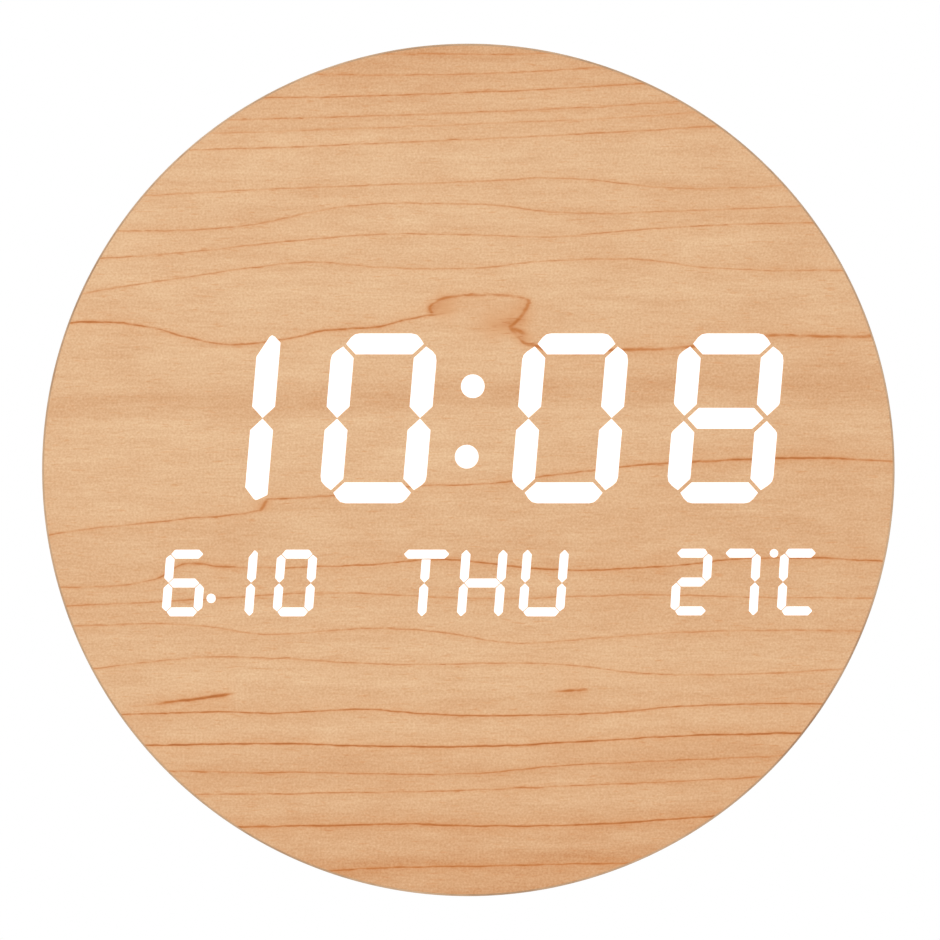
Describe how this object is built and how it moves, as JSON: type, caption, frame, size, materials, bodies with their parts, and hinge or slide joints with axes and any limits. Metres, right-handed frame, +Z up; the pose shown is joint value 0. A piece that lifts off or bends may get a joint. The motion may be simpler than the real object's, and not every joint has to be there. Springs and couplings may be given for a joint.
{
  "type": "digital wall clock",
  "caption": "Round wooden wall clock with a slim case and lit segment characters for time, date, weekday and temperature shining through its veneer face.",
  "frame": {"origin": "on the disc's axis in the wall plane, at the centre of the rear cover's outer face", "axes": "+X to the right seen from the front, +Y from the front face towards the wall, +Z up"},
  "size_m": [0.3, 0.028, 0.3],
  "materials": {
    "maple_veneer": "satin",
    "fibreboard": "raw",
    "edge_wood": "satin",
    "cover_plastic": "fine texture",
    "button_plastic": "satin",
    "lit_diffuser": "lit from behind",
    "reflector_plastic": "satin",
    "circuit_board": "solder mask",
    "black_plastic": "satin",
    "socket_plastic": "satin",
    "ribbon_plastic": "satin",
    "zinc_steel": "zinc plated",
    "cell_steel": "bright",
    "brass_pin": "plated"
  },
  "bodies": {
    "case": {"face_veneer": "maple_veneer", "front_panel": "fibreboard", "case_rim": "fibreboard", "edge_band": "edge_wood", "rear_cover": "cover_plastic", "hanger_plate": "zinc_steel", "hanger_screw_1": "zinc_steel", "hanger_screw_2": "zinc_steel", "cover_screw_1": "zinc_steel", "cover_screw_2": "zinc_steel", "cover_screw_3": "zinc_steel", "cover_screw_4": "zinc_steel", "cover_screw_5": "zinc_steel", "cover_screw_6": "zinc_steel", "hour_tens_diffuser": "lit_diffuser", "hour_units_diffuser": "lit_diffuser", "colon_diffuser": "lit_diffuser", "minute_tens_diffuser": "lit_diffuser", "minute_units_diffuser": "lit_diffuser", "date_diffuser": "lit_diffuser", "weekday_diffuser": "lit_diffuser", "temperature_diffuser": "lit_diffuser", "time_reflector": "reflector_plastic", "info_reflector": "reflector_plastic", "display_board": "circuit_board", "board_screw_1": "zinc_steel", "board_screw_2": "zinc_steel", "board_screw_3": "zinc_steel", "board_screw_4": "zinc_steel", "board_screw_5": "zinc_steel", "board_screw_6": "zinc_steel", "led_driver_chip": "black_plastic", "display_socket": "socket_plastic", "ribbon_cable": "ribbon_plastic", "control_board": "circuit_board", "control_board_screw_1": "zinc_steel", "control_board_screw_2": "zinc_steel", "control_board_screw_3": "zinc_steel", "control_board_screw_4": "zinc_steel", "control_socket": "socket_plastic", "clock_chip": "black_plastic", "quartz_crystal": "zinc_steel", "supply_capacitor": "black_plastic", "temperature_sensor": "black_plastic", "power_jack": "black_plastic", "power_jack_pin": "brass_pin", "coin_cell_holder": "black_plastic", "coin_cell": "cell_steel", "down_switch": "black_plastic", "set_switch": "black_plastic", "up_switch": "black_plastic"},
    "door": {"battery_door": "cover_plastic"},
    "down_key": {"down_button": "button_plastic", "down_plunger": "socket_plastic"},
    "set_key": {"set_button": "button_plastic", "set_plunger": "socket_plastic"},
    "up_key": {"up_button": "button_plastic", "up_plunger": "socket_plastic"}
  },
  "joints": [
    {"name": "door_hinge", "type": "hinge", "parent": "case", "child": "door", "pos_m": [-0.032, -0.0018, -0.07005], "axis": [1, 0, 0], "range_deg": [0, 90]},
    {"name": "down_press", "type": "slide", "parent": "case", "child": "down_key", "axis": [0, -1, 0], "range_m": [0, 0.0006], "stiffness_N_per_m": 1500},
    {"name": "set_press", "type": "slide", "parent": "case", "child": "set_key", "axis": [0, -1, 0], "range_m": [0, 0.0006], "stiffness_N_per_m": 1500},
    {"name": "up_press", "type": "slide", "parent": "case", "child": "up_key", "axis": [0, -1, 0], "range_m": [0, 0.0006], "stiffness_N_per_m": 1500}
  ]
}
